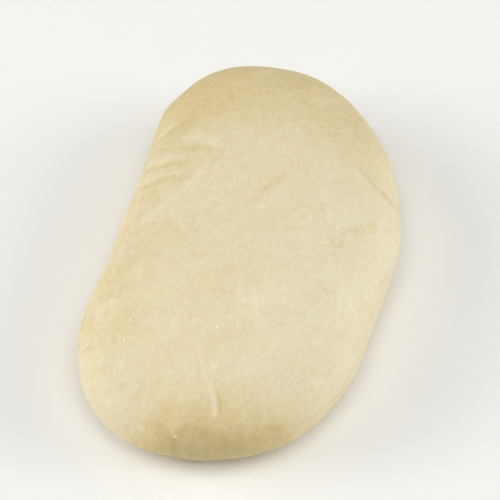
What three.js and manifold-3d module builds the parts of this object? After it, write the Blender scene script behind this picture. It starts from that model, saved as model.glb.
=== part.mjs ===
// A panini roll: a plump oval bread roll, pale and unsliced, that rests on a flat base.
// Millimetres, +Z up. The length runs along X and the width along Y, and the origin is
// the centre of the roll's bounding box, on the plane of its base.
//
// The roll starts as a rounded body that is fuller above its widest line than below it.
// What hands, its own weight and its neighbour on the tray have done to the dough is then
// laid over it one at a time: the crown droops towards the ends, one end is fuller, the
// ends lean over to one side, the neighbour has pressed one long side in and pleated its
// skin, a shallow waist dents the other side, and broad swellings make it uneven.

import * as THREE from "three";
import { mergeVertices } from "three/addons/utils/BufferGeometryUtils.js";
import Module from "manifold-3d";

// Overall size, which the finished solid is brought to exactly
const LENGTH = 152;
const WIDTH = 94;
const HEIGHT = 50;

// The body before it is irregular. It fills |x|^lengthwise + |y|^crosswise + |z|^upward
// <= 1, each axis in shares of its half size: at 2 it is an ellipsoid, and above 2 fuller.
const BODY_WIDTH = 96.5;
const BELLY_HEIGHT = 18; // level of the widest line above the base
const UNDERSIDE_DEPTH = 25; // depth of the whole under-curve, cut off flat at the base
const FULLNESS = { lengthwise: 3.1, crosswise: 2.25, upward: 2.3, downward: 2.6 };

// The crown sinks towards both ends by this share of its height, and more towards +X
const DROOP = 0.14;
const TILT = 0.03;

// The -X end is fuller and the +X end slimmer, and the middle is fuller than both
const FULLER_END = 0.05;
const FULLER_MIDDLE = 0.065;
const MIDDLE_LEVEL = 1 / 3; // keeps the mean width as it was

// The ends lean towards +Y, and the lean is twisted into a slight S
const LEAN = 7.4;
const LEAN_LEVEL = 0.35; // share of the lean that moves the middle the other way
const TWIST = 1.5;
const TWIST_LEVEL = 0.6; // share of the twist that leans the middle the other way

// The flat where the next roll lay, on the +Y side
const PRESSED = { depth: 6.3, at: 4, reach: 52 };

// The shallow waist in the -Y side
const WAIST = { depth: 1.5, at: -14, reach: 17 };

// How quickly one long side's shape gives way to the other's, across the middle
const SIDE_BLEND = 8;

// Broad swellings and hollows, pushed straight away from the middle of the roll
const SWELLINGS = [
  { centre: [46, 40, 27], height: 1.8, reach: 9 },
  { centre: [1, 43, 25], height: 1.0, reach: 9 },
  { centre: [-22, 45, 26], height: -0.6, reach: 8 },
  { centre: [-43, 46, 22], height: 0.6, reach: 9 },
  { centre: [-73, 15, 10], height: 0.9, reach: 14 },
  { centre: [-58, -30, 10], height: 0.9, reach: 12 },
  { centre: [-28, -44, 12], height: 0.5, reach: 12 },
  { centre: [18, -46, 18], height: 0.9, reach: 13 },
  { centre: [70, -8, 29], height: 1.0, reach: 18 },
];

// Pleats in the skin of the pressed side: where each one crosses the belly, and its depth
const PLEATS = [
  { at: 18, depth: 1.0 },
  { at: -7, depth: 0.8 },
  { at: -18, depth: 0.9 },
];
const PLEAT_WIDTH = 2.6;
const PLEAT_SLANT = 0.35; // how far a pleat runs along X for each millimetre up the side
const PLEAT_FADE = 4; // the higher, the sooner a pleat fades towards the crown

// Facets along each edge of the cube that the surface is wrapped from
const FACETS = { x: 46, y: 28, z: 18 };

const CROWN_HEIGHT = HEIGHT - BELLY_HEIGHT;
const BODY_CENTRE = new THREE.Vector3(0, 0, BELLY_HEIGHT);

// Newton's method starts from a reach that is outside the body whichever way the ray runs
const OUTSIDE = 2;
const NEWTON_STEPS = 12;

const SAME_POINT = 1e-4; // vertices closer than this are one

// A bell curve: 1 at the centre, and falling away over the reach to either side
function bell(distance, reach) {
  return Math.exp(-((distance / reach) ** 2));
}

// 1 well out on the +Y side, 0 well out on the -Y side, and one half on the middle line
function sideShare(y) {
  return 1 / (1 + Math.exp(-y / SIDE_BLEND));
}

// How far a ray from the body's centre runs to the body's surface. Each step of Newton's
// method comes closer from outside without passing it.
function reachOfBody(ray) {
  const upOrDown = ray.z > 0 ? FULLNESS.upward : FULLNESS.downward;
  const terms = [
    [Math.abs(ray.x), FULLNESS.lengthwise],
    [Math.abs(ray.y), FULLNESS.crosswise],
    [Math.abs(ray.z), upOrDown],
  ];
  let reach = OUTSIDE;
  for (let step = 0; step < NEWTON_STEPS; step++) {
    let excess = -1;
    let slope = 0;
    for (const [share, power] of terms) {
      excess += (share * reach) ** power;
      slope += power * share ** power * reach ** (power - 1);
    }
    reach -= excess / slope;
  }
  return reach;
}

// The point where a ray from the body's centre leaves the plain rounded body
function plainBody(ray) {
  const reach = reachOfBody(ray);
  const depth = ray.z > 0 ? CROWN_HEIGHT : UNDERSIDE_DEPTH;
  return new THREE.Vector3(
    (ray.x * reach * LENGTH) / 2,
    (ray.y * reach * BODY_WIDTH) / 2,
    ray.z * reach * depth + BELLY_HEIGHT,
  );
}

// The share of the half length that a point lies along the roll, from -1 to 1
function alongOf(p) {
  return p.x / (LENGTH / 2);
}

function droopTheCrown(p) {
  const along = alongOf(p);
  if (p.z > BELLY_HEIGHT) {
    p.z -= (p.z - BELLY_HEIGHT) * (DROOP * along ** 2 + TILT * along);
  }
}

function taperTheWidth(p) {
  const along = alongOf(p);
  p.y *= 1 - FULLER_END * along - FULLER_MIDDLE * (along ** 2 - MIDDLE_LEVEL);
}

function leanTheEnds(p) {
  const along = alongOf(p);
  p.y += LEAN * (along ** 2 - LEAN_LEVEL);
  p.y += TWIST * (along ** 3 - TWIST_LEVEL * along);
}

function pressOneSide(p) {
  p.y -= PRESSED.depth * sideShare(p.y) * bell(p.x - PRESSED.at, PRESSED.reach);
}

function dentTheOther(p) {
  p.y += WAIST.depth * (1 - sideShare(p.y)) * bell(p.x - WAIST.at, WAIST.reach);
}

// Each swelling pushes by a bell of the distance from its centre
function swellTheSkin(p) {
  const outward = p.clone().sub(BODY_CENTRE).normalize();
  let push = 0;
  for (const { centre, height, reach } of SWELLINGS) {
    push += height * bell(p.distanceTo(new THREE.Vector3(...centre)), reach);
  }
  p.addScaledVector(outward, push);
}

// Each pleat is a groove that climbs the pressed side on a slant and fades on the crown
function pleatTheSkin(p) {
  const outward = Math.max(0, p.y / (WIDTH / 2)) ** PLEAT_FADE;
  for (const { at, depth } of PLEATS) {
    const line = at + PLEAT_SLANT * (p.z - BELLY_HEIGHT);
    p.y -= depth * outward * bell(p.x - line, PLEAT_WIDTH);
  }
}

// Wraps the surface of a cube, divided evenly in angle, round the roll
function rollSurface() {
  const geometry = new THREE.BoxGeometry(2, 2, 2, FACETS.x, FACETS.y, FACETS.z);
  const places = geometry.getAttribute("position");
  const evenly = (s) => Math.tan((s * Math.PI) / 4);
  for (let i = 0; i < places.count; i++) {
    const ray = new THREE.Vector3().fromBufferAttribute(places, i);
    ray.set(evenly(ray.x), evenly(ray.y), evenly(ray.z)).normalize();
    const p = plainBody(ray);
    droopTheCrown(p);
    taperTheWidth(p);
    leanTheEnds(p);
    pressOneSide(p);
    dentTheOther(p);
    swellTheSkin(p);
    pleatTheSkin(p);
    places.setXYZ(i, p.x, p.y, p.z);
  }
  geometry.deleteAttribute("normal");
  geometry.deleteAttribute("uv");
  return mergeVertices(geometry, SAME_POINT);
}

// What lies under the base plane, as one block that the roll is cut with
function underTheBase() {
  const block = new THREE.BoxGeometry(2 * LENGTH, 2 * WIDTH, HEIGHT);
  block.translate(0, 0, -HEIGHT / 2);
  block.deleteAttribute("normal");
  block.deleteAttribute("uv");
  return mergeVertices(block, SAME_POINT);
}

function toSolid(wasm, geometry) {
  return new wasm.Manifold(
    new wasm.Mesh({
      numProp: 3,
      vertProperties: geometry.getAttribute("position").array,
      triVerts: new Uint32Array(geometry.index.array),
    }),
  );
}

function toGeometry(solid) {
  const mesh = solid.getMesh();
  const geometry = new THREE.BufferGeometry();
  geometry.setAttribute(
    "position",
    new THREE.BufferAttribute(mesh.vertProperties, 3),
  );
  geometry.setIndex(new THREE.BufferAttribute(mesh.triVerts, 1));
  return geometry;
}

// Centres the roll over the origin, and brings it to its overall size
function fitToSize(geometry) {
  geometry.computeBoundingBox();
  const { min, max } = geometry.boundingBox;
  geometry.translate(-(min.x + max.x) / 2, -(min.y + max.y) / 2, -min.z);
  geometry.scale(
    LENGTH / (max.x - min.x),
    WIDTH / (max.y - min.y),
    HEIGHT / (max.z - min.z),
  );
  geometry.computeVertexNormals();
  return geometry;
}

// Floured, unbrowned dough skin: creamy, and fully matt
function doughSkin() {
  return new THREE.MeshStandardMaterial({
    color: "#e6d8b4",
    roughness: 0.8,
    metalness: 0,
  });
}

const wasm = await Module();
wasm.setup();

const rollSolid = toSolid(wasm, rollSurface()).subtract(
  toSolid(wasm, underTheBase()),
);
const roll = new THREE.Mesh(fitToSize(toGeometry(rollSolid)), doughSkin());
roll.name = "roll";

const paniniRoll = new THREE.Group();
paniniRoll.add(roll);

export default paniniRoll;
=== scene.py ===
"""A pale, unbrowned panini roll on a plain paper sweep, in soft studio light.

The roll's skin is one fine mesh. Its body is worked out from a few sizes, the dough's own
unevenness, wrinkles and blisters are laid over it as relief, and the whole is fitted to the
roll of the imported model. Lengths are in metres. A place on the skin is given as a distance
along the roll and a turn about its long axis, from the crown down the +Y side.
"""

import math
from collections import namedtuple

import bpy
import numpy as np
from bpy.props import (
    FloatProperty,
    FloatVectorProperty,
    IntProperty,
    PointerProperty,
)
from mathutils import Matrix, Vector


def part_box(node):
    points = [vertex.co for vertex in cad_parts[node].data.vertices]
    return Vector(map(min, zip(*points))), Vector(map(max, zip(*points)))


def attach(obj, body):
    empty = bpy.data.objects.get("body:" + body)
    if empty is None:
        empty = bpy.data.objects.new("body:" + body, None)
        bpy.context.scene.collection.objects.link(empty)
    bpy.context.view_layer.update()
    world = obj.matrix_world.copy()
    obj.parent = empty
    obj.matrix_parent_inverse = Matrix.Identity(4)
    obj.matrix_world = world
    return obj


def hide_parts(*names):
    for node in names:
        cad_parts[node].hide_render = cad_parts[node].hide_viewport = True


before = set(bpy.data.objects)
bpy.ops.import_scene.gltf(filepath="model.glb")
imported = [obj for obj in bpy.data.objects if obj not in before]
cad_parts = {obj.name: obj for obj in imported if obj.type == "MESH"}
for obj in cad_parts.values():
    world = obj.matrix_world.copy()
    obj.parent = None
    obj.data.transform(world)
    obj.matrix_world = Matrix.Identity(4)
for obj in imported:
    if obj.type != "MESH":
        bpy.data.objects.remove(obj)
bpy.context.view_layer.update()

bl_info = {
    "name": "Panini roll",
    "version": (1, 0, 0),
    "blender": (4, 5, 0),
    "location": "View3D > Sidebar > Bread",
    "description": "Builds an unbrowned panini roll and a soft-lit stage for it",
    "category": "Add Mesh",
}

MM = 0.001

ROLL_LOW, ROLL_HIGH = (np.array(corner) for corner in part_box("roll"))
LENGTH, WIDTH, HEIGHT = ROLL_HIGH - ROLL_LOW

# Cells along each edge of the box that the skin is wrapped from: about 0.7 mm apart
CELLS = (200, 116, 84)


def linear(hex_colour):
    """An sRGB colour, written #RRGGBB, as linear red, green, blue and a full alpha."""
    shares = [int(hex_colour[i : i + 2], 16) / 255 for i in (1, 3, 5)]
    return [s / 12.92 if s <= 0.04045 else ((s + 0.055) / 1.055) ** 2.4 for s in shares] + [1.0]


# ---------------------------------------------------------------- what a user may change


class RollShape(bpy.types.PropertyGroup):
    """The roll's own sizes. Its length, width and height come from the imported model."""

    body_width: FloatProperty(
        name="Body width",
        description="Width of the plain body, before its sides are pressed and dented",
        default=96.5 * MM,
        unit="LENGTH",
    )
    belly_height: FloatProperty(
        name="Belly height",
        description="Level of the widest line above the base",
        default=18 * MM,
        unit="LENGTH",
    )
    underside_depth: FloatProperty(
        name="Underside depth",
        description="Depth of the whole under-curve, which the base cuts off",
        default=25 * MM,
        unit="LENGTH",
    )
    lean: FloatProperty(
        name="Lean",
        description="How far the ends lean towards the pressed side",
        default=7.4 * MM,
        unit="LENGTH",
    )
    pressed_depth: FloatProperty(
        name="Pressed depth",
        description="How far the next roll has pushed one long side in",
        default=6.3 * MM,
        unit="LENGTH",
    )
    waist_depth: FloatProperty(
        name="Waist depth",
        description="Depth of the shallow waist in the free long side",
        default=1.5 * MM,
        unit="LENGTH",
    )
    rim_radius: FloatProperty(
        name="Rim softness",
        description="How far the skin rounds in above and below the edge of the base",
        default=2.5 * MM,
        unit="LENGTH",
    )
    wrinkles: FloatProperty(
        name="Wrinkles",
        description="Depth of the wrinkles in the skin, as a share of their natural depth",
        default=1.0,
        min=0,
        max=3,
    )
    seed: IntProperty(
        name="Seed",
        description="Chooses the random unevenness",
        default=7,
        min=0,
    )


class RollSkin(bpy.types.PropertyGroup):
    """The colours and finish of the dough's skin."""

    floured: FloatVectorProperty(
        name="Floured dough",
        description="Colour of the skin where a dusting of flour has stayed on it",
        default=linear("#E8DFC2"),
        size=4,
        subtype="COLOR",
        min=0,
        max=1,
    )
    cream: FloatVectorProperty(
        name="Cream dough",
        description="Colour of the skin where the flour has mostly soaked in",
        default=linear("#E7D8B3"),
        size=4,
        subtype="COLOR",
        min=0,
        max=1,
    )
    # The bare colour is also the painted shade's colour: the skin goes towards it low down,
    # towards the ends and on the pressed side
    bare_and_shaded: FloatVectorProperty(
        name="Bare dough",
        description="Colour of the skin where it never took flour",
        default=linear("#DDC793"),
        size=4,
        subtype="COLOR",
        min=0,
        max=1,
    )
    freckle: FloatVectorProperty(
        name="Freckles",
        description="Colour of the specks of bran under the skin",
        default=linear("#CDB680"),
        size=4,
        subtype="COLOR",
        min=0,
        max=1,
    )
    flour: FloatVectorProperty(
        name="Flour",
        description="Colour of the loose specks of flour",
        default=linear("#F8EFD6"),
        size=4,
        subtype="COLOR",
        min=0,
        max=1,
    )
    softness: FloatProperty(
        name="Softness",
        description="How far light spreads inside the dough",
        default=0.8 * MM,
        unit="LENGTH",
    )


class RollStage(bpy.types.PropertyGroup):
    """The floor, the lights and the camera."""

    paper_colour: FloatVectorProperty(
        name="Paper",
        description="Colour of the paper sweep that the roll lies on",
        default=linear("#FAFAF8"),
        size=4,
        subtype="COLOR",
        min=0,
        max=1,
    )
    brightness: FloatProperty(
        name="Brightness",
        description="Strength of all the lights together",
        default=1.0,
        min=0,
    )


# ---------------------------------------------------------------- the body


def box_surface(cells):
    """A box's surface as vertices in shares of the box, from -1 to 1, and quads.

    Each face is a grid of two whole-number parameters. Points that two or three faces
    share are made one vertex, so that the surface is closed, and every quad faces out.
    """
    points, quads, start = [], [], 0
    for axis in range(3):
        across, up = (axis + 1) % 3, (axis + 2) % 3
        a, b = np.meshgrid(*(np.arange(cells[k] + 1) for k in (across, up)), indexing="ij")
        index = np.arange(a.size).reshape(a.shape)
        ring = [index[:-1, :-1], index[1:, :-1], index[1:, 1:], index[:-1, 1:]]
        face = np.stack(ring, axis=-1).reshape(-1, 4)
        for end in (0, cells[axis]):
            grid = np.empty((a.size, 3), int)
            grid[:, axis], grid[:, across], grid[:, up] = end, a.ravel(), b.ravel()
            points.append(grid)
            quads.append((face if end else face[:, ::-1]) + start)
            start += a.size
    points, same = np.unique(np.concatenate(points), axis=0, return_inverse=True)
    return 2 * points / np.array(cells) - 1, same.reshape(-1)[np.concatenate(quads)]


def bell(distance, reach):
    """1 at the centre, falling away over the reach: e to the minus (distance / reach) squared."""
    return np.exp(-((distance / reach) ** 2))


def side_share(y):
    """1 well out on the +Y side, 0 well out on the -Y side and one half on the middle line."""
    return 1 / (1 + np.exp(-y / SIDE_BLEND))


# The plain body fills |x|^lengthwise + |y|^crosswise + |z|^upward <= 1, each axis in
# shares of its half size: at 2 it is an ellipsoid, and above 2 fuller.
LENGTHWISE, CROSSWISE, UPWARD, DOWNWARD = 3.1, 2.25, 2.3, 2.6

# Newton's method starts from a reach that is outside the body whichever way the ray runs
OUTSIDE = 2.0
NEWTON_STEPS = 12

# The crown sinks towards both ends by this share of its height, and more towards +X
DROOP, TILT = 0.14, 0.03

# The -X end is fuller and the +X end slimmer, and the middle is fuller than both. The level
# keeps the mean width as it was.
FULLER_END, FULLER_MIDDLE = 0.05, 0.065
MIDDLE_LEVEL = 1 / 3

# The lean grows with the square of the distance along, and a cubic twists it into a slight
# S. A level is the share of each that moves the middle the other way.
LEAN_LEVEL = 0.35
TWIST, TWIST_LEVEL = 1.5 * MM, 0.6

# How quickly one long side's shape gives way to the other's, and where along the roll the
# sides are pressed in and dented
SIDE_BLEND = 8 * MM
PRESSED_AT, PRESSED_REACH = 4 * MM, 52 * MM
WAIST_AT, WAIST_REACH = -14 * MM, 17 * MM


def plain_body(shape, shares):
    """The rounded body. A ray through each point of the box, spaced evenly in angle, is
    followed to where the sum of its coordinates' powers is 1, by Newton's method."""
    rays = np.tan(shares * math.pi / 4)
    rays /= np.linalg.norm(rays, axis=1, keepdims=True)
    rising = rays[:, 2] > 0
    powers = np.empty_like(rays)
    powers[:, 0], powers[:, 1] = LENGTHWISE, CROSSWISE
    powers[:, 2] = np.where(rising, UPWARD, DOWNWARD)
    reach = np.full(len(rays), OUTSIDE)
    for _ in range(NEWTON_STEPS):
        terms = (np.abs(rays) * reach[:, None]) ** powers
        reach -= reach * (terms.sum(axis=1) - 1) / (powers * terms).sum(axis=1)
    half_height = np.where(rising, HEIGHT - shape.belly_height, shape.underside_depth)
    x = rays[:, 0] * reach * LENGTH / 2
    y = rays[:, 1] * reach * shape.body_width / 2
    z = rays[:, 2] * reach * half_height
    return np.stack([x, y, z], axis=1)


def handled(shape, points):
    """The body as hands, its own weight and the next roll have left it: the crown droops by
    a square of the distance along, the width tapers, the ends lean by a square and a cubic,
    and the sides move in by a bell each. Heights come in from the belly and go out from
    the base."""
    x, y, z = points.T
    along = x / (LENGTH / 2)
    z = np.where(z > 0, z * (1 - DROOP * along**2 - TILT * along), z) + shape.belly_height
    y = y * (1 - FULLER_END * along - FULLER_MIDDLE * (along**2 - MIDDLE_LEVEL))
    y = y + shape.lean * (along**2 - LEAN_LEVEL) + TWIST * (along**3 - TWIST_LEVEL * along)
    y = y - shape.pressed_depth * side_share(y) * bell(x - PRESSED_AT, PRESSED_REACH)
    y = y + shape.waist_depth * (1 - side_share(y)) * bell(x - WAIST_AT, WAIST_REACH)
    return np.stack([x, y, z], axis=1)


def settled(points, softness):
    """What lies below the floor is laid flat on it. Near the rim of the base the height is
    rounded in: the larger of z and 0, plus a parabola that ends the softness away."""
    z = points[:, 2]
    near = np.maximum(0, 1 - np.abs(z) / softness)
    points[:, 2] = np.maximum(z, 0) + near**2 * softness / 4
    return points


def fitted(points):
    """The points moved and scaled, axis by axis, to fill the roll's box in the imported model."""
    low, high = points.min(axis=0), points.max(axis=0)
    return (points - low) / (high - low) * (ROLL_HIGH - ROLL_LOW) + ROLL_LOW


def normals_of(points, quads):
    """Each vertex's outward direction: the mean of the faces round it, by their diagonals."""
    a, b, c, d = (points[quads[:, k]] for k in range(4))
    faces = np.cross(c - a, d - b)
    sums = np.zeros_like(points)
    for k in range(4):
        np.add.at(sums, quads[:, k], faces)
    return sums / np.linalg.norm(sums, axis=1, keepdims=True)


# ---------------------------------------------------------------- the skin's relief

# Places on the skin are measured along the roll and across it, where a turn of one radian
# is as far across as the roll's mean radius
GIRTH_RADIUS = 38 * MM

# Broad swellings and hollows: where each one is centred, in millimetres, with its height
# and its reach. Each pushes the skin straight away from the middle of the roll.
SWELLINGS = (
    ((46, 40, 27), 1.8, 9),
    ((1, 43, 25), 1.0, 9),
    ((-22, 45, 26), -0.6, 8),
    ((-43, 46, 22), 0.6, 9),
    ((-73, 15, 10), 0.9, 14),
    ((-58, -30, 10), 0.9, 12),
    ((-28, -44, 12), 0.5, 12),
    ((18, -46, 18), 0.9, 13),
    ((70, -8, 29), 1.0, 18),
)

# A wrinkle is a groove that bends once: it leaves its first place towards its second and
# comes to its third. Each place is millimetres along and degrees of turn. The depth and
# the half width are in millimetres, and the lip is the height of the fold beside the
# groove as a share of the depth, on the left of the way the wrinkle runs, or on the right
# where it is below zero. A depth below zero makes a ridge.
Wrinkle = namedtuple("Wrinkle", "start bend end depth half_width lip")

# How many half widths a wrinkle's lip lies out from its groove
LIP_AT = 1.8

# Steps that a wrinkle's curve is measured in
WRINKLE_STEPS = 14

# Pleats where the next roll pressed the side
PLEATS = (
    Wrinkle((17, 104), (18, 92), (23, 72), 1.0, 2.4, 0.15),
    Wrinkle((-8, 100), (-7, 88), (-4, 72), 0.8, 2.2, 0.12),
    Wrinkle((-20, 100), (-18, 86), (-15, 72), 0.9, 2.4, 0.12),
)

# Fine wrinkles, which the colour picks out: the ridges are paler, with flour caught on
# them, and the grooves darker, with less flour and a painted shade
WRINKLES = (
    # the fan above the pleats
    Wrinkle((4, 74), (3, 62), (5, 52), 0.07, 1.2, 0.6),
    Wrinkle((10, 76), (8, 56), (10, 36), 0.12, 1.3, 0.8),
    Wrinkle((19, 80), (15, 62), (16, 42), 0.13, 1.4, 0.8),
    Wrinkle((25, 76), (26, 66), (23, 57), 0.09, 1.1, 0.6),
    Wrinkle((29, 74), (32, 62), (38, 51), 0.09, 1.3, 0.8),
    # the long streaks and the soft folds that cross the crown
    Wrinkle((28, 53), (27, 40), (23, 27), -0.18, 1.6, 0.0),
    Wrinkle((22, 48), (23, 34), (20, 24), 0.1, 1.4, 0.0),
    Wrinkle((-11, 62), (-2, 46), (16, 28), -0.14, 1.4, 0.0),
    Wrinkle((-2, 42), (-8, 37), (-13, 31), -0.12, 1.1, 0.0),
    Wrinkle((8, 31), (16, 30), (22, 24), 0.1, 1.4, 0.3),
    Wrinkle((0, 2), (7, -5), (18, -17), 0.14, 1.8, -0.5),
    Wrinkle((-29, 4), (-33, 2), (-37, -2), 0.12, 1.0, 0.4),
    Wrinkle((-30, -17), (-38, -23), (-46, -30), -0.1, 1.2, 0.0),
    Wrinkle((55, -6), (52, -12), (47, -20), 0.1, 1.3, 0.0),
    # the free side's short wrinkles
    Wrinkle((8, -22), (6, -27), (6, -34), 0.12, 1.2, 0.4),
    Wrinkle((10, -36), (8, -39), (3, -41), 0.2, 0.9, 0.5),
    Wrinkle((17, -36), (18, -42), (26, -49), 0.12, 1.2, 0.4),
    Wrinkle((31, -50), (27, -58), (26, -69), 0.16, 1.3, -0.5),
    Wrinkle((27, -64), (24, -72), (29, -84), 0.16, 1.2, -0.4),
    Wrinkle((1, -49), (7, -60), (13, -66), 0.2, 1.4, 0.5),
    Wrinkle((0, -45), (-8, -49), (0, -53), 0.22, 0.9, 0.4),
    Wrinkle((13, -70), (14, -78), (18, -88), 0.14, 1.1, -0.5),
    Wrinkle((-19, -43), (-21, -50), (-22, -60), 0.12, 0.9, 0.4),
    # the ridge down the fuller end, in two stretches, and the marks beside it
    Wrinkle((-50, 13), (-58, 3), (-63, -7), -0.17, 1.1, 0.0),
    Wrinkle((-62, -7), (-66, -14), (-70, -28), -0.32, 1.0, 0.4),
    Wrinkle((-44, 70), (-42, 64), (-39, 56), -0.16, 1.4, 0.0),
    Wrinkle((-64, 70), (-61, 66), (-62, 60), 0.1, 1.0, 0.5),
    Wrinkle((-65, 44), (-68, 50), (-71, 56), 0.14, 0.9, 0.4),
    Wrinkle((-70, 26), (-74, 45), (-75, 72), 0.1, 1.2, 0.4),
)

# The stray creases of a hand-shaped skin: how many are tried, the least and most of their
# length, depth and half width in millimetres, and their lip
CREASES = 70
CREASE_LENGTH = (5, 15)
CREASE_DEPTH = (0.04, 0.14)
CREASE_HALF_WIDTH = (0.7, 1.2)
CREASE_LIP = 0.5

# The furthest place of a crease, in millimetres along and degrees of turn. Over the middle
# of the roll, out to this many millimetres, the creases run round it, and past that they run
# along it, give or take the swerve, in degrees. One whose middle comes within the clearance,
# in millimetres, of a fine wrinkle's bend is left out.
CREASES_ALONG, CREASES_ROUND = 68, 105
CREASE_MIDDLE = 42
CREASE_SWERVE = 35
CREASE_CLEARANCE = 11

# Waves that the dough's random unevenness is the sum of: their length, least and most, and
# the height of the sum, root mean square
WAVES = (
    (30 * MM, 60 * MM, 0.22 * MM),
    (10 * MM, 20 * MM, 0.06 * MM),
    (4 * MM, 8 * MM, 0.03 * MM),
)
WAVES_IN_A_SUM = 24

# Gas blisters and small dents: how many, their radius and height, least and most
BLISTERS = (90, (1.3 * MM, 2.6 * MM), (0.03 * MM, 0.11 * MM))
DENTS = (110, (1.0 * MM, 1.8 * MM), (-0.09 * MM, -0.03 * MM))

# Height of a ridge that has caught all the flour and painted light it can, and depth of a
# groove that has lost all its flour and taken all the painted shade it can
FULL_FOLD = 0.2 * MM

# Skin that faces down more steeply than this lay on the tray, which has left this share of
# its relief
BASE_FACING = -0.9
BASE_RELIEF = 0.3


def swollen(shape, points):
    """The points after each swelling has pushed them away from the middle of the roll by a
    bell of their distance from where it is centred."""
    outward = points - (0, 0, shape.belly_height)
    outward /= np.linalg.norm(outward, axis=1, keepdims=True)
    for centre, height, reach in SWELLINGS:
        distance = np.linalg.norm(points - np.array(centre) * MM, axis=1)
        points = points + outward * (height * MM * bell(distance, reach * MM))[:, None]
    return points


def on_skin(along, turn):
    """A place on the skin, in metres along and across."""
    return np.array([along * MM, math.radians(turn) * GIRTH_RADIUS])


def unrolled(shape, points):
    """Each point's place on the skin: its x, and its turn about the long axis times the
    mean radius."""
    turn = np.arctan2(points[:, 1], points[:, 2] - shape.belly_height)
    return np.stack([points[:, 0], turn * GIRTH_RADIUS], axis=1)


def wrinkle_height(places, wrinkle):
    """A wrinkle's height at each place: a bell of the distance from its curve, sunk by the
    depth, and beside it a second bell raised by the lip. The curve is start (1 - t)^2 +
    bend 2 t (1 - t) + end t^2, and the wrinkle fades towards both its ends."""
    t = np.linspace(0, 1, WRINKLE_STEPS + 1)[:, None]
    start, bend, end = (on_skin(*place) for place in wrinkle[:3])
    curve = start * (1 - t) ** 2 + bend * 2 * t * (1 - t) + end * t**2
    depth, width = wrinkle.depth * MM, wrinkle.half_width * MM
    nearest = np.full(len(places), np.inf)
    left = np.zeros(len(places))
    share = np.zeros(len(places))
    for k, (a, b) in enumerate(zip(curve[:-1], curve[1:])):
        step, out = b - a, places - a
        on_step = np.clip(out @ step / (step @ step), 0, 1)
        gap = out - on_step[:, None] * step
        distance = np.hypot(gap[:, 0], gap[:, 1])
        closer = distance < nearest
        nearest[closer] = distance[closer]
        left[closer] = (distance * np.sign(step[0] * gap[:, 1] - step[1] * gap[:, 0]))[closer]
        share[closer] = (k + on_step[closer]) / WRINKLE_STEPS
    fade = 1 - (2 * share - 1) ** 4
    lip_at = math.copysign(LIP_AT * width, wrinkle.lip)
    lip = abs(wrinkle.lip) * bell(left - lip_at, width)
    return depth * fade * (lip - bell(nearest, width))


def stray_creases(draw):
    """Short wrinkles scattered over the skin, each with a random place, heading, swerve,
    length, depth and half width."""
    creases = []
    taken = np.array([on_skin(*wrinkle.bend) for wrinkle in WRINKLES])
    for _ in range(CREASES):
        along = draw.uniform(-CREASES_ALONG, CREASES_ALONG)
        turn = draw.uniform(-CREASES_ROUND, CREASES_ROUND)
        heading = 0 if abs(along) > CREASE_MIDDLE else 90
        heading = math.radians(heading + draw.normal(0, CREASE_SWERVE))
        swerve = math.radians(draw.normal(0, CREASE_SWERVE))
        half = draw.uniform(*CREASE_LENGTH) / 2
        a_degree = math.radians(1) * GIRTH_RADIUS / MM
        places = [
            (along + side * half * math.cos(way), turn + side * half * math.sin(way) / a_degree)
            for side, way in ((-1, heading - swerve), (0, 0), (1, heading + swerve))
        ]
        depth, width = draw.uniform(*CREASE_DEPTH), draw.uniform(*CREASE_HALF_WIDTH)
        crease = Wrinkle(*places, depth, width, draw.choice((-CREASE_LIP, CREASE_LIP)))
        gap = np.linalg.norm(taken - on_skin(along, turn), axis=1).min()
        if gap > CREASE_CLEARANCE * MM:
            creases.append(crease)
    return creases


def unevenness(points, shortest, longest, height, draw):
    """A sum of cosines that run through space in random directions, at random wavelengths
    between the shortest and the longest."""
    total = np.zeros(len(points))
    for _ in range(WAVES_IN_A_SUM):
        way = draw.normal(size=3)
        way *= 2 * math.pi / draw.uniform(shortest, longest) / np.linalg.norm(way)
        total += np.cos(points @ way + draw.uniform(0, 2 * math.pi))
    return total * height * math.sqrt(2 / WAVES_IN_A_SUM)


def scattered(points, count, radii, heights, draw):
    """The height of many small round bumps, each a bell centred on a random vertex."""
    total = np.zeros(len(points))
    for centre in points[draw.choice(len(points), count, replace=False)]:
        distance = np.linalg.norm(points - centre, axis=1)
        total += draw.uniform(*heights) * bell(distance, draw.uniform(*radii))
    return total


def relief(shape, points, normals):
    """The height of the skin over the plain body, and the part of it that fine wrinkles
    make. The base is pressed flat on the tray, so there the relief only goes in, and less."""
    draw = np.random.default_rng(shape.seed)
    places = unrolled(shape, points)
    fine = [*WRINKLES, *stray_creases(draw)]
    folds, pleats = (
        shape.wrinkles * sum(wrinkle_height(places, wrinkle) for wrinkle in group)
        for group in (fine, PLEATS)
    )
    height = folds + pleats + sum(unevenness(points, *waves, draw) for waves in WAVES)
    height += sum(scattered(points, *bumps, draw) for bumps in (BLISTERS, DENTS))
    height = np.where(normals[:, 2] < BASE_FACING, -BASE_RELIEF * np.abs(height), height)
    return height, folds


def rise(value, low, high):
    """0 up to the low value and 1 from the high value on, with a smooth cubic between."""
    share = np.clip((value - low) / (high - low), 0, 1)
    return share * share * (3 - 2 * share)


def fall(value, low, high):
    """1 up to the low value and 0 from the high value on, with a smooth cubic between."""
    return 1 - rise(value, low, high)


def fuller_end_of(x, y):
    """How far towards the tip of the fuller end, in millimetres: on the -Y half, a quarter
    of the way out from the middle line counts as well."""
    return 0.25 * np.maximum(0, -y) - x


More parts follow.
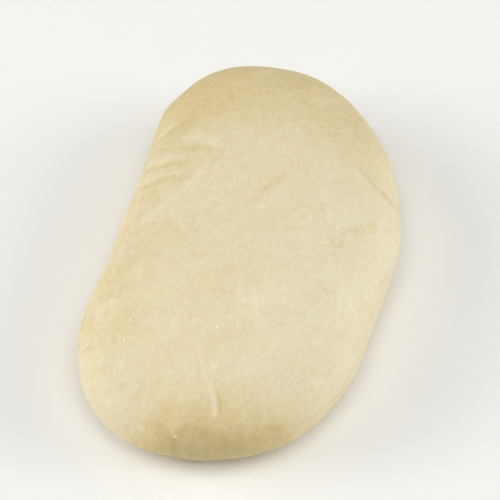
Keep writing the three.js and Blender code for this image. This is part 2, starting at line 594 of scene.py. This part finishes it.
def dusting_and_shade_of(points):
    """How much flour the skin's colour shows, from 0, bare, to 1, partly real flour and partly
    painted shade: much of it on the crown and more on the free -Y side, less on the pressed
    side, which also paints the next roll's shadow there, less over the top of the slimmer end,
    which paints that end's shade, and least low down and under the fuller end, which paints
    the shade there, except at its +Y corner, which is paler, and along the top edge of the
    painted shade under that end, a paler band. Each is a product of smooth steps or bells over
    millimetres, and the share is the sum of them all."""
    x, y, z = points.T / MM
    end = fuller_end_of(x, y)
    free_side = rise(-y, 0, 30) * fall(x, 0, 45) * (1 - 0.4 * fall(z, 20, 40))
    pressed_side = rise(y, 4, 40)
    full_corner = rise(y, 10, 30) * rise(-x, 50, 62) * fall(-x, 66, 78)
    pale_band = rise(end, 58, 66) * bell(z - 26, 4) * bell(y + 6, 18)
    slimmer_end = rise(x, 8, 76) * (0.4 + 0.6 * rise(z, 8, 30))
    shaded_end = rise(end, 56, 76) * fall(y, 0, 26) * (1 - 0.5 * rise(-y, 24, 38))
    shaded_end *= fall(z + 0.3 * y, 25, 48)
    low_down = fall(z, 8, 30) * (1 - 0.8 * full_corner)
    # The terms that take flour away also paint shade: over the slimmer end, on the pressed side,
    # under the fuller end and low down
    share = 0.66 + 0.24 * free_side + 0.32 * full_corner + 0.1 * pale_band
    share -= 0.3 * pressed_side + 0.58 * slimmer_end + 0.68 * shaded_end + 0.38 * low_down
    return np.clip(share, 0, 1)


def painted_shade_of(points):
    """How much painted shade the skin's colour takes, from 0 to 1: most low down under the
    fuller end's tip, less up its -Y flank, and a little all round its foot, where the roll
    meets the floor. Each is a product of smooth steps over millimetres, and the most of
    them counts."""
    x, y, z = points.T / MM
    end = fuller_end_of(x, y)
    tip = rise(end, 61, 74) * fall(y, 0, 20) * (1 - 0.35 * rise(-y, 10, 20)) * fall(z, 16, 35)
    flank = 0.38 * rise(end, 60, 76) * rise(-y, 2, 28)
    foot = 0.4 * fall(z, 3, 18)
    return np.maximum.reduce([tip, flank, foot])


def build_mesh(name, points, quads, **values):
    """A smooth mesh, with each of the values given kept at its vertices under its name."""
    mesh = bpy.data.meshes.new(name)
    mesh.from_pydata(points, [], quads)
    mesh.polygons.foreach_set("use_smooth", np.ones(len(quads), bool))
    for key, value in values.items():
        layer = mesh.attributes.new(key, "FLOAT", "POINT")
        layer.data.foreach_set("value", value.astype(np.float32))
    mesh.update()
    return mesh


# ---------------------------------------------------------------- materials


def add(tree, kind, sockets=None, **settings):
    """Adds a node with its settings. Each socket named is set to a value or is linked: to
    the socket given or, where a whole node is given, to its first output in use."""
    node = tree.nodes.new(kind)
    for name, value in settings.items():
        setattr(node, name, value)
    for socket, value in (sockets or {}).items():
        if isinstance(value, bpy.types.Node):
            value = next(output for output in value.outputs if output.enabled)
        if isinstance(value, bpy.types.NodeSocket):
            tree.links.new(value, node.inputs[socket])
        else:
            node.inputs[socket].default_value = value
    return node


def new_tree(name):
    """A new material, and its empty node tree."""
    material = bpy.data.materials.new(name)
    material.use_nodes = True
    material.node_tree.nodes.clear()
    return material, material.node_tree


# A Mix node's sockets for colours come after those for numbers and vectors
FACTOR, FIRST_COLOUR, SECOND_COLOUR = 0, 6, 7

# How much a pattern that darkens the dough takes from its red, green and blue: the dough's
# own darker patterns and the painted shade in grooves and pores turn it yellower, and the
# painted shade under the fuller end and round the foot keeps its hue
DRY_SHADE = np.array((0.85, 1.0, 1.9))
PAINTED_SHADE_TINT = np.array((1.0, 1.0, 1.0))


def specks(tree, places, spacing, radius, share):
    """Round specks, one at most in each cell of a spacing and in only a share of the cells:
    1 in a speck's middle, 0 from its edge out. Their radii run from half of the given
    one to the whole of it."""
    cells = add(tree, "ShaderNodeTexVoronoi", {"Vector": places, "Scale": 1 / spacing})
    drawn = add(tree, "ShaderNodeSeparateColor", {"Color": cells.outputs["Color"]})
    kept = add(tree, "ShaderNodeMath", {0: drawn, 1: share}, operation="LESS_THAN")
    size = add(
        tree,
        "ShaderNodeMapRange",
        {
            "Value": drawn.outputs["Green"],
            "To Min": 0.5 * radius / spacing,
            "To Max": radius / spacing,
        },
    )
    within = add(
        tree,
        "ShaderNodeMapRange",
        {"Value": cells.outputs["Distance"], "From Min": size, "From Max": 0.0},
    )
    return add(tree, "ShaderNodeMath", {0: within, 1: kept}, operation="MULTIPLY")


def dough_skin(skin):
    """Wheat dough, shaped by hand, proofed on a floured cloth and not yet browned. Its skin
    has dried matt, and flour has soaked in unevenly: the eye sees a soft cream with paler
    and yellower patches, fine grain, small open pores, specks of loose flour, most of them
    caught on a bran freckle, and light that spreads a little way under the skin. Its colour
    also holds painted shade: darker and yellower low down, towards both ends, on the pressed
    side and in grooves and pores, and darker under the fuller end and round the foot."""
    material, tree = new_tree("wheat_dough_proofed")
    places = add(tree, "ShaderNodeTexCoord").outputs["Object"]
    dusting_and_shade, painted_shade, fold = (
        add(tree, "ShaderNodeAttribute", attribute_name=name).outputs["Fac"]
        for name in ("dusting_and_shade", "painted_shade", "fold")
    )
    blotches, crumbs, grain = (
        add(tree, "ShaderNodeTexNoise", {"Vector": places, "Scale": 1 / size, "Detail": 2.0})
        for size in (4 * MM, 2 * MM, 0.8 * MM)
    )
    slant = {"Vector": places, "Rotation": (0.0, 0.0, math.radians(-45)), "Scale": (2.2, 1.0, 1.0)}
    slanted = add(tree, "ShaderNodeMapping", slant, vector_type="TEXTURE")
    upright = add(tree, "ShaderNodeMapping", {"Vector": places, "Scale": (1.0, 1.0, 0.3)})
    patches, streaks = (
        add(tree, "ShaderNodeTexNoise", {"Vector": vector, "Scale": 1 / size, "Detail": 2.0})
        for vector, size in ((slanted, 12 * MM), (upright, 2.5 * MM))
    )
    pores = specks(tree, places, 2.4 * MM, 0.6 * MM, 0.6)

    # Freckles and flour share their cells, so that each freckle has caught some flour
    freckles = specks(tree, places, 6 * MM, 0.8 * MM, 0.4)
    flour = specks(tree, places, 6 * MM, 0.7 * MM, 0.5)

    # Flour and painted shade lie where the mesh says, in patches; the ridges are paler, with
    # flour caught on them, and the grooves darker, with less flour and a painted shade. Each
    # noise adds half its weight on the whole, which the ranges allow for.
    for source, weight in ((patches, 0.28), (blotches, 0.3), (fold, 0.4)):
        sockets = {0: source, 1: weight, 2: dusting_and_shade}
        dusting_and_shade = add(tree, "ShaderNodeMath", sockets, operation="MULTIPLY_ADD")
    cream_share = add(
        tree, "ShaderNodeMapRange", {"Value": dusting_and_shade, "From Min": 0.29, "From Max": 0.79}
    )
    floured_share = add(
        tree, "ShaderNodeMapRange", {"Value": dusting_and_shade, "From Min": 0.79, "From Max": 1.29}
    )
    colour = list(skin.bare_and_shaded)
    for share, hue in ((cream_share, skin.cream), (floured_share, skin.floured)):
        sockets = {FACTOR: share, FIRST_COLOUR: colour, SECOND_COLOUR: list(hue)}
        colour = add(tree, "ShaderNodeMix", sockets, data_type="RGBA")

    # The painted shade under the fuller end and round the foot is mottled and ends in a ragged
    # edge, with teeth that run up and down. No loose flour specks lie in it.
    for source, weight in ((streaks, 1.2), (crumbs, 0.4)):
        sockets = {0: source, 1: weight, 2: painted_shade}
        painted_shade = add(tree, "ShaderNodeMath", sockets, operation="MULTIPLY_ADD")
    shade_mask = add(
        tree, "ShaderNodeMapRange", {"Value": painted_shade, "From Min": 0.95, "From Max": 1.85}
    )
    shade_mottle = add(tree, "ShaderNodeMath", {0: shade_mask, 1: crumbs}, operation="MULTIPLY")
    unshaded = add(tree, "ShaderNodeMath", {0: 1.0, 1: shade_mask}, operation="SUBTRACT")
    flour = add(tree, "ShaderNodeMath", {0: flour, 1: unshaded}, operation="MULTIPLY")

    # Ridges are a little lighter, a painted light, and grooves, pores and the skin under the
    # fuller end and round the foot are darker, a painted shade. The noises are lighter and
    # darker by turns: each is half its weight on the whole, which the start takes off, and it
    # adds a little for what the pores take.
    noises = ((grain, 0.2), (crumbs, 0.12), (blotches, 0.06), (patches, 0.09))
    tone = 1.02 - DRY_SHADE * sum(weight for _, weight in noises) / 2
    for source, weight, shade in (
        *((noise, weight, DRY_SHADE) for noise, weight in noises),
        (fold, 0.02, DRY_SHADE),
        (pores, -0.05, DRY_SHADE),
        (shade_mask, -0.09, PAINTED_SHADE_TINT),
        (shade_mottle, -0.23, PAINTED_SHADE_TINT),
    ):
        sockets = {0: source, 1: weight * shade, 2: tone}
        tone = add(tree, "ShaderNodeVectorMath", sockets, operation="MULTIPLY_ADD")
    colour = add(tree, "ShaderNodeVectorMath", {0: colour, 1: tone}, operation="MULTIPLY")

    # A weight over 1 gives the specks firmer edges
    for pattern, weight, hue in ((freckles, 1.2, skin.freckle), (flour, 3.0, skin.flour)):
        share = add(
            tree, "ShaderNodeMath", {0: pattern, 1: weight}, operation="MULTIPLY", use_clamp=True
        )
        sockets = {FACTOR: share, FIRST_COLOUR: colour, SECOND_COLOUR: list(hue)}
        colour = add(tree, "ShaderNodeMix", sockets, data_type="RGBA")

    # The finest relief, in tenths of a millimetre, which is left to the shading
    height = 0.0
    for source, weight in ((grain, 0.5), (crumbs, 0.5), (pores, -0.9), (flour, 0.8)):
        sockets = {0: source, 1: weight, 2: height}
        height = add(tree, "ShaderNodeMath", sockets, operation="MULTIPLY_ADD")
    bump = add(tree, "ShaderNodeBump", {"Height": height, "Distance": 0.1 * MM, "Strength": 1.0})

    # Floured skin is rougher than bare skin
    roughness = add(
        tree,
        "ShaderNodeMapRange",
        {"Value": dusting_and_shade, "From Min": 0.29, "From Max": 1.29, "To Min": 0.66, "To Max": 0.84},
    )
    shader = add(
        tree,
        "ShaderNodeBsdfPrincipled",
        {
            "Base Color": colour,
            "Roughness": roughness,
            "Specular IOR Level": 0.18,
            "Subsurface Weight": 0.7,
            "Subsurface Radius": (1.0, 0.7, 0.45),
            "Subsurface Scale": skin.softness,
            "Normal": bump,
        },
    )
    add(tree, "ShaderNodeOutputMaterial", {"Surface": shader})
    return material


def backdrop_paper(stage):
    """A wide roll of matt backdrop paper: off-white, with a faint fibre grain."""
    material, tree = new_tree("backdrop_paper_matt")
    places = add(tree, "ShaderNodeTexCoord").outputs["Object"]
    fibres = add(tree, "ShaderNodeTexNoise", {"Vector": places, "Scale": 1 / (2 * MM)})
    bump = add(tree, "ShaderNodeBump", {"Height": fibres, "Distance": 0.02 * MM})
    shader = add(
        tree,
        "ShaderNodeBsdfPrincipled",
        {
            "Base Color": list(stage.paper_colour),
            "Roughness": 0.95,
            "Specular IOR Level": 0.1,
            "Normal": bump,
        },
    )
    add(tree, "ShaderNodeOutputMaterial", {"Surface": shader})
    return material


# ---------------------------------------------------------------- the roll


class BREAD_OT_roll(bpy.types.Operator):
    """Builds the roll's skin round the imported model's plain solid"""

    bl_idname = "bread.roll"
    bl_label = "Build the roll"

    def execute(self, context):
        shape = context.scene.roll_shape
        shares, quads = box_surface(CELLS)
        points = swollen(shape, handled(shape, plain_body(shape, shares)))
        points = fitted(settled(points, shape.rim_radius))
        normals = normals_of(points, quads)
        height, folds = relief(shape, points, normals)
        points = fitted(points + normals * height[:, None])
        # Besides flour, these values paint light and shade into the skin's colour: paler ridges,
        # darker grooves, and shade low down, towards the ends, on the pressed side and under the
        # fuller end
        values = {
            "fold": np.clip(folds / FULL_FOLD, -1, 1),
            "dusting_and_shade": dusting_and_shade_of(points),
            "painted_shade": painted_shade_of(points),
        }
        mesh = build_mesh("roll_skin", points, quads, **values)
        roll = bpy.data.objects.new("roll_skin", mesh)
        context.scene.collection.objects.link(roll)
        mesh.materials.append(dough_skin(context.scene.roll_skin))
        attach(roll, "root")
        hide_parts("roll")
        return {"FINISHED"}


# ---------------------------------------------------------------- the stage

# The sweep is flat out to its first radius, then curves up at its second into a wall
FLAT_RADIUS = 1.7
COVE_RADIUS = 1.2
WALL_TOP = 2.8
SWEEP_SIDES = 96
COVE_STEPS = 16

# A faint, even light from all round
WORLD_STRENGTH = 0.06

# Three white softboxes: the azimuth and elevation of each from the roll in degrees, and its
# power in watts
SOFTBOX_DISTANCE = 1.9
SOFTBOX_SIZE = 1.2
SOFTBOXES = {
    "right_softbox": (15, 30, 14.2),
    "left_softbox": (-165, 30, 16.9),
    "high_softbox": (-75, 73, 15.4),
}

# Where the camera is from the roll, in degrees and metres, and how wide it sees there
CAMERA_AZIMUTH, CAMERA_ELEVATION = -75.6, 55.0
CAMERA_DISTANCE = 1.3
FRAME_WIDTH = 165 * MM


def direction(azimuth, elevation):
    """The unit vector from the roll towards a place at an azimuth and elevation."""
    a, e = math.radians(azimuth), math.radians(elevation)
    return np.array([math.sin(a) * math.cos(e), -math.cos(a) * math.cos(e), math.sin(e)])


def turned_to(thing, aim):
    """Turns a camera or a light so that its -Z axis runs through the aim."""
    thing.rotation_mode = "QUATERNION"
    thing.rotation_quaternion = (Vector(aim) - thing.location).to_track_quat("-Z", "Y")


def paper_sweep():
    """A surface of revolution: a flat disc, then a quarter circle that curves up all round,
    radius flat + cove sin(a) and height cove (1 - cos(a)), then a plain wall."""
    bend = np.linspace(0, math.pi / 2, COVE_STEPS + 1)
    radius = np.append(FLAT_RADIUS + COVE_RADIUS * np.sin(bend), FLAT_RADIUS + COVE_RADIUS)
    height = np.append(COVE_RADIUS * (1 - np.cos(bend)), WALL_TOP)
    turn = np.arange(SWEEP_SIDES) * 2 * math.pi / SWEEP_SIDES
    rings = [np.outer(radius, np.cos(turn)), np.outer(radius, np.sin(turn))]
    points = np.stack([*rings, np.repeat(height[:, None], SWEEP_SIDES, axis=1)], axis=-1)
    index = np.arange(points[..., 0].size).reshape(len(radius), SWEEP_SIDES)
    after = np.roll(index, -1, axis=1)
    corners = [index[:-1], index[1:], after[1:], after[:-1]]
    quads = np.stack(corners, axis=-1).reshape(-1, 4)
    return points.reshape(-1, 3), [index[0].tolist()] + quads.tolist()


class BREAD_OT_stage(bpy.types.Operator):
    """Lays the paper sweep, hangs the lights and sets up the camera"""

    bl_idname = "bread.stage"
    bl_label = "Set the stage"

    def execute(self, context):
        scene = context.scene
        stage = scene.roll_stage
        middle = Vector((0, 0, HEIGHT / 2))

        mesh = build_mesh("paper_sweep", *paper_sweep())
        mesh.materials.append(backdrop_paper(stage))
        sweep = bpy.data.objects.new("paper_sweep", mesh)
        scene.collection.objects.link(sweep)

        scene.world = bpy.data.worlds.new("studio")
        scene.world.use_nodes = True
        sky = scene.world.node_tree.nodes["Background"]
        sky.inputs["Color"].default_value = (1, 1, 1, 1)
        sky.inputs["Strength"].default_value = WORLD_STRENGTH * stage.brightness

        for name, (azimuth, elevation, power) in SOFTBOXES.items():
            data = bpy.data.lights.new(name, "AREA")
            data.size = SOFTBOX_SIZE
            data.energy = power * stage.brightness
            lamp = bpy.data.objects.new(name, data)
            lamp.location = middle + SOFTBOX_DISTANCE * Vector(direction(azimuth, elevation))
            lamp.visible_camera = False
            turned_to(lamp, middle)
            scene.collection.objects.link(lamp)

        data = bpy.data.cameras.new("camera")
        data.lens = data.sensor_width * CAMERA_DISTANCE / FRAME_WIDTH
        camera = bpy.data.objects.new("camera", data)
        back = Vector(direction(CAMERA_AZIMUTH, CAMERA_ELEVATION))
        camera.location = middle + CAMERA_DISTANCE * back
        turned_to(camera, middle)
        scene.collection.objects.link(camera)
        scene.camera = camera
        scene.view_settings.view_transform = "Standard"
        return {"FINISHED"}


# ---------------------------------------------------------------- the add-on


class BREAD_PT_panel(bpy.types.Panel):
    """Lists the roll and the stage with what may be changed"""

    bl_idname = "BREAD_PT_panel"
    bl_label = "Panini roll"
    bl_space_type = "VIEW_3D"
    bl_region_type = "UI"
    bl_category = "Bread"

    def draw(self, context):
        scene = context.scene
        for operator, groups in (
            (BREAD_OT_roll, (scene.roll_shape, scene.roll_skin)),
            (BREAD_OT_stage, (scene.roll_stage,)),
        ):
            self.layout.operator(operator.bl_idname)
            for group in groups:
                for name in group.__annotations__:
                    self.layout.prop(group, name)


CLASSES = (RollShape, RollSkin, RollStage, BREAD_OT_roll, BREAD_OT_stage, BREAD_PT_panel)


def register():
    for cls in CLASSES:
        bpy.utils.register_class(cls)
    bpy.types.Scene.roll_shape = PointerProperty(type=RollShape)
    bpy.types.Scene.roll_skin = PointerProperty(type=RollSkin)
    bpy.types.Scene.roll_stage = PointerProperty(type=RollStage)


def unregister():
    del bpy.types.Scene.roll_stage
    del bpy.types.Scene.roll_skin
    del bpy.types.Scene.roll_shape
    for cls in reversed(CLASSES):
        bpy.utils.unregister_class(cls)


def main():
    register()
    bpy.ops.bread.roll()
    bpy.ops.bread.stage()


if __name__ == "__main__":
    main()
